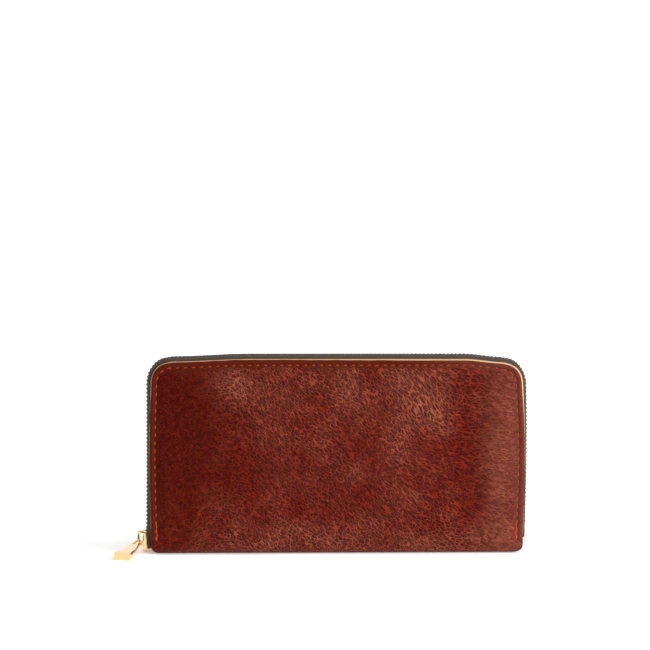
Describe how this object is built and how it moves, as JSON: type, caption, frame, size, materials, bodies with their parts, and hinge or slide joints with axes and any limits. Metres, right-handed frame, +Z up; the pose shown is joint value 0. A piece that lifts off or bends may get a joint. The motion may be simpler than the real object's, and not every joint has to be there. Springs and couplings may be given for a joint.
{
  "type": "zip around wallet",
  "caption": "Long leather zip around wallet standing on its spine, with card slots, bill compartments and a zipped coin pocket.",
  "frame": {"origin": "middle of the spine's flat underside, on the surface that the wallet stands on", "axes": "+X runs along the wallet away from the slider's end, the front cover faces -Y, +Z is up towards the top zip"},
  "size_m": [0.2121, 0.0411, 0.1018],
  "materials": {
    "outer_leather": "pull-up, semi-gloss pebbled grain",
    "pocket_leather": "smooth, satin",
    "lining_fabric": "matt twill",
    "zip_tape": "matt woven tape",
    "zip_coil": "satin nylon",
    "gold_hardware": "polished plating",
    "thread": "waxed thread"
  },
  "bodies": {
    "core": {"spine": "outer_leather", "spine_lining": "lining_fabric", "coin_pocket_front": "pocket_leather", "coin_pocket_back": "pocket_leather", "coin_tape_front": "zip_tape", "coin_tape_back": "zip_tape", "coin_coil_front": "zip_coil", "coin_coil_back": "zip_coil", "coin_zip_stops": "gold_hardware", "left_tape_ends": "zip_tape", "right_tape_ends": "zip_tape", "left_coil_ends": "zip_coil", "right_coil_ends": "zip_coil", "zip_top_stops": "gold_hardware", "zip_bottom_stop": "gold_hardware", "gusset_front_left": "lining_fabric", "gusset_front_right": "lining_fabric", "gusset_back_left": "lining_fabric", "gusset_back_right": "lining_fabric"},
    "front_cover": {"front_panel": "outer_leather", "front_lining": "lining_fabric", "front_card_slot_1": "pocket_leather", "front_card_slot_2": "pocket_leather", "front_card_slot_3": "pocket_leather", "front_card_slot_4": "pocket_leather", "front_zip_tape": "zip_tape", "front_zip_coil": "zip_coil", "front_stitching": "thread"},
    "back_cover": {"back_panel": "outer_leather", "back_lining": "lining_fabric", "back_card_slot_1": "pocket_leather", "back_card_slot_2": "pocket_leather", "back_card_slot_3": "pocket_leather", "back_card_slot_4": "pocket_leather", "back_zip_tape": "zip_tape", "back_zip_coil": "zip_coil", "back_stitching": "thread"},
    "zip_slider": {"zip_slider": "gold_hardware"},
    "zip_pull": {"zip_pull": "gold_hardware"},
    "coin_slider": {"coin_slider": "gold_hardware"},
    "coin_pull": {"coin_pull": "gold_hardware"}
  },
  "joints": [
    {"name": "front_cover_open", "type": "hinge", "parent": "core", "child": "front_cover", "pos_m": [0, -0.012, 0.00615], "axis": [1, 0, 0], "range_deg": [0, 30], "deforming": ["gusset_front_left", "gusset_front_right"]},
    {"name": "back_cover_open", "type": "hinge", "parent": "core", "child": "back_cover", "pos_m": [0, 0.012, 0.00615], "axis": [-1, 0, 0], "range_deg": [0, 30], "deforming": ["gusset_back_left", "gusset_back_right"]},
    {"name": "zip_slide", "type": "slide", "parent": "core", "child": "zip_slider", "axis": [0, 0, -1], "range_m": [-0.074, 0]},
    {"name": "zip_pull_swing", "type": "hinge", "parent": "zip_slider", "child": "zip_pull", "pos_m": [-0.10291, 0.0015, 0.005], "axis": [-0.9816, 0.1908, 0], "range_deg": [0, 60]},
    {"name": "coin_zip_slide", "type": "slide", "parent": "core", "child": "coin_slider", "axis": [1, 0, 0], "range_m": [0, 0.118]},
    {"name": "coin_pull_swing", "type": "hinge", "parent": "coin_slider", "child": "coin_pull", "pos_m": [-0.06, 0, 0.07775], "axis": [0, -1, 0], "range_deg": [0, 176]}
  ]
}
